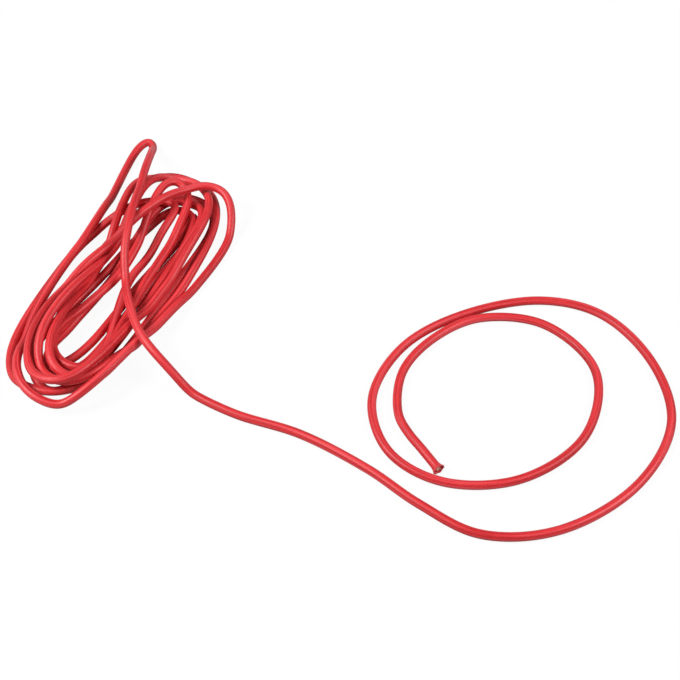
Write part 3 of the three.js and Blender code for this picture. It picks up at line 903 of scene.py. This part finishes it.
@dataclass
class CutEnd:
    """One hot-cut end: the flared mouth of melted yarn and the rubber strands inside it."""

    name: str
    tip: Array
    outward: Array
    along_tip: float
    # 1 where distances along the cord grow towards this tip, else -1
    direction: float
    seed: int
    cord_radius: float = 0.0027
    bore_radius: float = 0.0020

    mouth_length: float = 0.0045
    mouth_flare: float = 0.00085
    flare_power: float = 2.4
    throat_power: float = 1.6
    lip: float = 0.00055
    wall: float = 0.0003
    mouth_rows: int = 16
    lip_rows: int = 8
    mouth_sides: int = 96

    # Each wave round the rim: its height, how often it goes round, its share of the end's phase
    phase_step: float = 1.3
    rim_waves: tuple[Triple, ...] = ((0.00016, 2.0, 1.0), (0.00007, 5.0, 2.1))
    edge_waves: tuple[Triple, ...] = ((0.00022, 3.0, 1.0), (0.00012, 7.0, -1.0))
    yarn_wave: float = 0.00006
    side_bulge: float = 0.00022
    melt_power: float = 1.5
    inner_melt: float = 0.75

    yarn_ends: int = 24
    loose_rows: int = 6
    loose_sides: int = 6
    loose_radius: float = 0.00016
    loose_taper: float = 0.75
    loose_root: float = 0.0002
    loose_melt: float = 0.5
    loose_spread: Pair = (-0.3, 0.3)
    loose_length: Pair = (0.0004, 0.0011)
    loose_curl: Pair = (0.2, 0.9)
    loose_sway: Pair = (-0.4, 0.4)

    strand_pitch: float = 0.00078
    strand_radius: float = 0.00036
    strand_length: float = 0.010
    strand_sides: int = 12
    strand_recess: Pair = (0.0003, 0.0010)
    strand_seed_step: int = 40
    # The rows at a strand's tip: how far each lies behind it, and its share of the radius
    tip_rows: tuple[Pair, ...] = ((0.00012, 1.0), (0.00003, 0.9), (0.0, 0.6))

    def axes(self) -> tuple[Array, Array]:
        """Gives the end's upright and side axes."""
        up = np.array([0.0, 0.0, 1.0]) - self.outward * self.outward[2]
        up /= np.linalg.norm(up)
        return up, np.cross(self.outward, up)

    def placed(self, radius: Array, angle: Array, depth: Array) -> Array:
        """Places points round the end's middle line.

        Args:
            radius: each point's distance from the end's middle line.
            angle: its angle from upright towards the side.
            depth: how far it lies beyond the tip, so inside the cord it is negative.

        Returns:
            The points.
        """
        up, side = self.axes()
        return (
            self.tip
            + up * (radius * np.cos(angle))[..., None]
            + side * (radius * np.sin(angle))[..., None]
            + self.outward * depth[..., None]
        )

    def waves(self, angle: Array, table: tuple[Triple, ...]) -> Array:
        """Sums waves round the rim: height * sin(times * angle + share * phase)."""
        phase = self.phase_step * self.seed
        return sum(height * np.sin(times * angle + share * phase) for height, times, share in table)

    def section(self) -> tuple[Array, Array, int]:
        """Draws the mouth's section, up the outside, over the lip and back inside.

        Outside, the radius grows from the cord's by flare * share ** flare_power towards the rim. The
        lip is half a circle, and inside the radius falls back to the bore's.

        Returns:
            Each row's radius, its depth beyond the tip, and the number of the first row inside.
        """
        share = np.linspace(0.0, 1.0, self.mouth_rows)
        turn = np.linspace(0.0, np.pi, self.lip_rows)[1:-1]
        back = share[::-1]
        outside = self.cord_radius + self.mouth_flare * share**self.flare_power
        rim = outside[-1] - self.lip / 2.0
        throat = rim - self.lip / 2.0 - self.bore_radius
        radius = np.concatenate([
            outside,
            rim + self.lip / 2.0 * np.cos(turn),
            self.bore_radius + throat * back**self.throat_power,
        ])
        depth = np.concatenate([
            -self.mouth_length * (1.0 - share),
            self.lip / 2.0 * np.sin(turn),
            -self.mouth_length * (1.0 - back),
        ])
        return radius, depth, len(share) + len(turn)

    def mouth(self) -> Surface:
        """Draws the mouth as one closed ring.

        Near the rim each yarn stands proud by a small cosine, the rim is wider sideways, and slow
        waves make it uneven. The underside is pressed flat on the surface, with the inside a wall's
        thickness above it.

        Returns:
            The mouth's surface.
        """
        angle = np.pi + 2.0 * np.pi * np.arange(self.mouth_sides) / self.mouth_sides
        radius, depth, first_inside = self.section()
        radius, depth = radius[:, None], depth[:, None]
        nearness = np.clip(1.0 + depth / self.mouth_length, 0.0, 1.0) ** 2
        yarns = self.yarn_wave * np.cos(self.yarn_ends * angle)
        wide = self.side_bulge * np.sin(angle) ** 2
        radius = radius + nearness * (self.waves(angle, self.rim_waves) + yarns + wide)
        depth = depth + nearness * (self.waves(angle, self.edge_waves) + yarns / 2.0)
        grid = self.placed(radius, angle, depth)
        lowest = np.where(np.arange(len(grid)) >= first_inside, self.wall, 0.0)
        grid[..., 2] = np.maximum(grid[..., 2], lowest[:, None])
        along = self.along_tip + self.direction * depth.mean(axis=1)
        melt = np.broadcast_to(nearness**self.melt_power, radius.shape).copy()
        melt[first_inside:] = np.maximum(melt[first_inside:], self.inner_melt)
        return Surface(grid, along, closed_rows=True, melt=melt)

    def loose_yarns(self) -> list[Surface]:
        """Draws the ends of the yarns that stand off the rim: short tapered tubes that curl outwards."""
        chance = np.random.default_rng(self.seed)
        rim = self.cord_radius + self.mouth_flare - self.lip / 2.0
        up, side = self.axes()
        share = np.linspace(0.0, 1.0, self.loose_rows)
        thick = self.loose_radius * (1.0 - self.loose_taper * share)
        along = np.full(self.loose_rows, self.along_tip)
        melt = np.full((self.loose_rows, self.loose_sides), self.loose_melt)
        surfaces = []
        for index in range(self.yarn_ends):
            angle = 2.0 * np.pi * (index + chance.uniform(*self.loose_spread)) / self.yarn_ends
            length = chance.uniform(*self.loose_length)
            curl = chance.uniform(*self.loose_curl)
            out = up * math.cos(angle) + side * math.sin(angle)
            sway = np.cross(self.outward, out) * chance.uniform(*self.loose_sway)
            start = self.tip + out * rim - self.outward * self.loose_root
            line = (
                start
                + (self.outward * length) * share[:, None]
                + (out * curl + sway) * (length * share**2)[:, None]
            )
            line[:, 2] = np.maximum(line[:, 2], thick)
            surfaces.append(Surface(rings(line, thick, self.loose_sides), along, melt=melt))
        return surfaces

    def strand_places(self) -> list[Pair]:
        """Gives the strands' places in the end's upright and side axes: one, then rings of 6 and 12."""
        places = [(0.0, 0.0)]
        for ring in (1, 2):
            for index in range(6 * ring):
                corner, share = divmod(index, ring)
                a, b = (np.pi / 3.0 * (corner + offset) for offset in (0, 1))
                x = ring * math.cos(a) + share * (math.cos(b) - math.cos(a))
                y = ring * math.sin(a) + share * (math.sin(b) - math.sin(a))
                places.append((x * self.strand_pitch, y * self.strand_pitch))
        return places

    def strands(self) -> list[Surface]:
        """Draws the core's strands, each cut at its own depth."""
        chance = np.random.default_rng(self.seed + self.strand_seed_step)
        up, side = self.axes()
        angle = 2.0 * np.pi * np.arange(self.strand_sides) / self.strand_sides
        behind, shares = np.array(self.tip_rows).T
        radius = self.strand_radius * np.concatenate([[1.0], shares])
        along = np.full(len(radius), self.along_tip)
        surfaces = []
        for x, y in self.strand_places():
            recess = chance.uniform(*self.strand_recess)
            depth = -np.concatenate([[self.strand_length], recess + behind])
            grid = self.placed(radius[:, None], angle, depth[:, None])
            surfaces.append(Surface(grid + up * x + side * y, along))
        return surfaces

    def build(self, melted: Material, rubber: Material) -> tuple[Object, Object]:
        """Builds the mouth with its loose yarns, and the bundle of strands.

        Args:
            melted: the mouth's material.
            rubber: the strands' material.

        Returns:
            The mouth and the strands.
        """
        mouth_parts = [self.mouth(), *self.loose_yarns()]
        mouth = solid_of(f"{self.name}_flared_mouth", mouth_parts, melted)
        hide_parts(f"{self.name}_mouth")
        strands = solid_of(f"{self.name}_rubber_strands", self.strands(), rubber)
        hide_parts(*(f"{self.name}_strand_{number}" for number in range(1, 8)))
        return mouth, strands


@dataclass
class Studio:
    """The camera at the photograph's angle, a pale floor and soft light from both sides."""

    eye: Triple = (0.003, -0.5268, 0.6395)
    down_degrees: float = 51.6
    lens: float = 70.0
    sensor_width: float = 36.0
    clip: Pair = (0.01, 50.0)
    floor_half: float = 4.0
    lamp_size: float = 0.55
    left_place: Triple = (-1.0, -0.15, 1.1)
    left_power: float = 17.0
    right_place: Triple = (1.1, -0.2, 1.0)
    right_power: float = 10.5
    world_strength: float = 0.29
    seen_strength: float = 1.0

    def place_camera(self, shift: Array) -> None:
        """Puts the camera where the photograph was taken from.

        Args:
            shift: how far the route was moved onto its solids.
        """
        data = bpy.data.cameras.new("photo_camera")
        data.lens, data.sensor_width = self.lens, self.sensor_width
        data.clip_start, data.clip_end = self.clip
        camera = add_object("photo_camera", data)
        camera.location = (self.eye[0] + shift[0], self.eye[1] + shift[1], self.eye[2])
        camera.rotation_euler = Euler((math.radians(90.0 - self.down_degrees), 0.0, 0.0))
        bpy.context.scene.camera = camera

    def add_lamp(self, name: str, place: Triple, power: float) -> None:
        """Adds a square soft lamp that faces the origin.

        Args:
            name: the lamp's name.
            place: where it stands.
            power: its power in watts.
        """
        data = bpy.data.lights.new(name, "AREA")
        data.size, data.energy = self.lamp_size, power
        lamp = add_object(name, data)
        lamp.location = place
        from_lamp = -np.array(place)
        lamp.rotation_euler = Euler((
            math.acos(-from_lamp[2] / np.linalg.norm(from_lamp)),
            0.0,
            math.atan2(from_lamp[1], from_lamp[0]) - math.pi / 2.0,
        ))

    def build(self, floor_material: Material) -> None:
        """Builds the floor, the lamps and the world.

        Args:
            floor_material: the floor's finish.
        """
        mesh = bpy.data.meshes.new("floor")
        signs = ((-1, -1), (1, -1), (1, 1), (-1, 1))
        corners = [(x * self.floor_half, y * self.floor_half, 0.0) for x, y in signs]
        mesh.from_pydata(corners, [], [(0, 1, 2, 3)])
        mesh.materials.append(floor_material)
        floor = add_object("floor", mesh)
        self.add_lamp("left_lamp", self.left_place, self.left_power)
        self.add_lamp("right_lamp", self.right_place, self.right_power)
        world = bpy.data.worlds.new("white_room")
        bpy.context.scene.world = world
        world.use_nodes = True
        tree = world.node_tree
        tree.nodes.clear()
        path = tree.nodes.new("ShaderNodeLightPath")
        strength = tree.nodes.new("ShaderNodeMapRange")
        strength.inputs["To Min"].default_value = self.world_strength
        strength.inputs["To Max"].default_value = self.seen_strength
        background = tree.nodes.new("ShaderNodeBackground")
        background.inputs["Color"].default_value = WHITE
        output = tree.nodes.new("ShaderNodeOutputWorld")
        tree.links.new(path.outputs["Is Camera Ray"], strength.inputs["Value"])
        tree.links.new(strength.outputs["Result"], background.inputs["Strength"])
        tree.links.new(background.outputs[0], output.inputs["Surface"])
        bpy.context.scene.view_settings.view_transform = "Standard"


def main() -> None:
    logging.basicConfig(level=logging.INFO, format="%(name)s: %(message)s")
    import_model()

    route = CordRoute()
    studio = Studio()
    studio.place_camera(route.shift)
    sheath = BraidFinish().material("red_braid")
    melted = BraidFinish().material("melted_red_braid")
    rubber = RubberFinish().material("pale_rubber")

    along = arc_lengths(route.points)
    total, join = along[-1], along[route.join]
    free_way = unit(route.points[-1] - route.points[-1 - END_STEPS])
    start_way = unit(route.points[0] - route.points[END_STEPS])
    free_tip = CutEnd("free_end", route.points[-1], free_way, total, 1.0, seed=3)
    start_tip = CutEnd("start_end", route.points[0], start_way, 0.0, -1.0, seed=8)
    hank = CordStretch("hank", route, start_tip.mouth_length, join, "coiled")
    free = CordStretch("free_stretch", route, join, total - free_tip.mouth_length, "loose")

    for stretch, tip in ((hank, start_tip), (free, free_tip)):
        braid, core, centres = stretch.build(sheath, rubber)
        mouth, strands = tip.build(melted, rubber)
        LOG.info("%s: %.3f m of cord", stretch.name, arc_lengths(centres)[-1])

    studio.build(FloorFinish().material("white_floor"))


if __name__ == "__main__":
    main()
